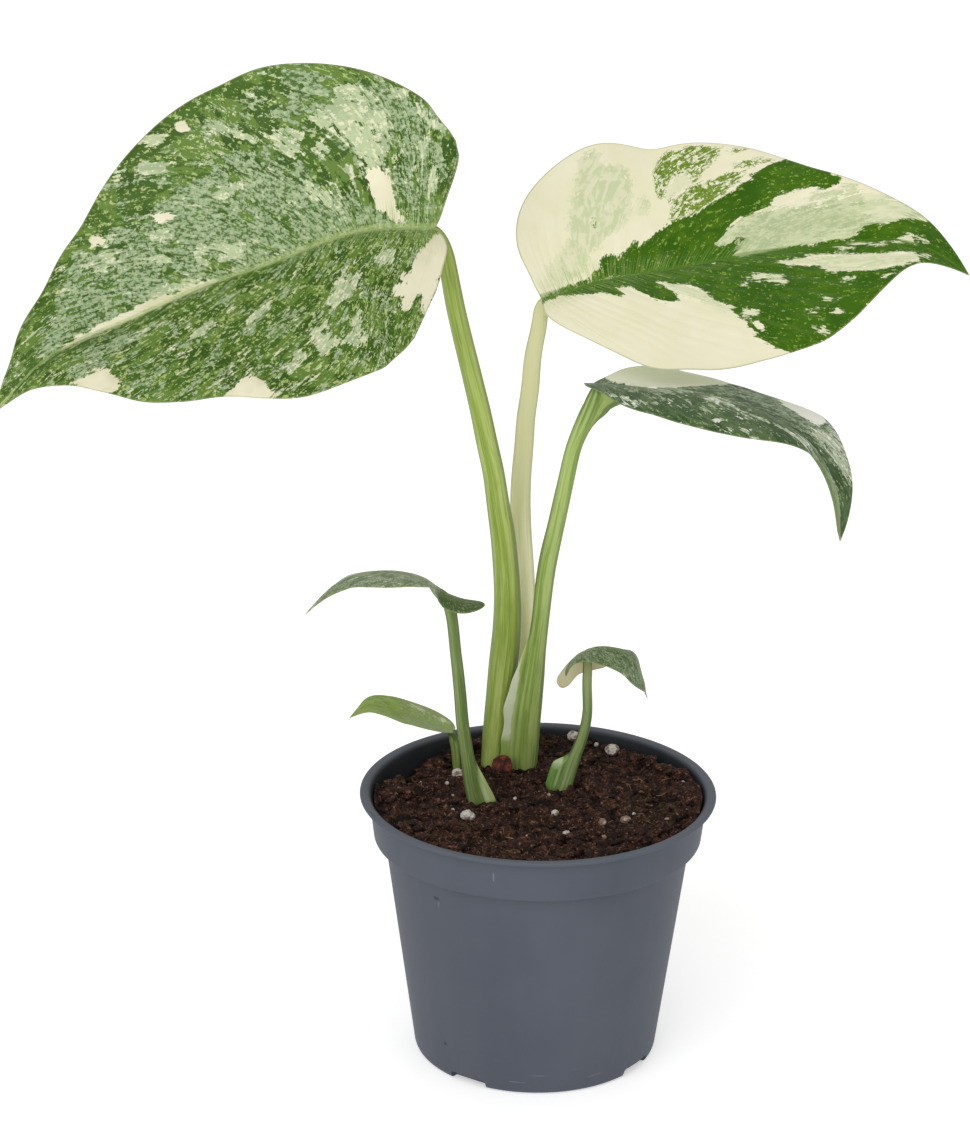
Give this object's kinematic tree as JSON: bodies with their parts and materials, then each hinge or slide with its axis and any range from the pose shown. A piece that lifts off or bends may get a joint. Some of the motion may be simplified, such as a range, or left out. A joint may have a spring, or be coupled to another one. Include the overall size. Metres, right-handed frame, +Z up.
{
  "type": "potted creme brulee monstera",
  "caption": "Juvenile variegated monstera with marbled green and cream heart-shaped leaves on arching stalks, in a matte blue-grey nursery pot filled with peat.",
  "frame": {"origin": "centre of the flat underside of the pot, on the surface it stands on", "axes": "+Z up, -Y towards the viewer, +X to the viewer's right; the big marbled leaf points to -X"},
  "size_m": [0.318, 0.1639, 0.3327],
  "materials": {
    "pot_plastic": "matte",
    "peat": "matte",
    "bark": "matte",
    "leaf_marbled": "satin",
    "leaf_cream": "satin",
    "leaf_grey": "satin",
    "leaf_lime": "satin",
    "stalk_green": "satin",
    "stalk_pale": "satin",
    "stem": "satin",
    "perlite": "matte"
  },
  "bodies": {
    "root": {"pot": "pot_plastic", "soil": "peat", "bark_chip": "bark", "leaf_left_large": "leaf_marbled", "petiole_left_large": "stalk_green", "leaf_right_large": "leaf_cream", "petiole_right_large": "stalk_pale", "leaf_right_drooping": "leaf_grey", "petiole_right_drooping": "stalk_green", "leaf_left_small_upper": "leaf_grey", "petiole_left_small_upper": "stalk_green", "leaf_left_small_lower": "leaf_lime", "petiole_left_small_lower": "stalk_green", "leaf_right_small": "leaf_grey", "petiole_right_small": "stalk_green", "stem_main": "stem", "stem_left": "stem", "stem_rear_left": "stem", "stem_right": "stem", "perlite_1": "perlite", "perlite_2": "perlite", "perlite_3": "perlite", "perlite_4": "perlite", "perlite_5": "perlite", "perlite_6": "perlite", "perlite_7": "perlite", "perlite_8": "perlite"}
  },
  "joints": []
}
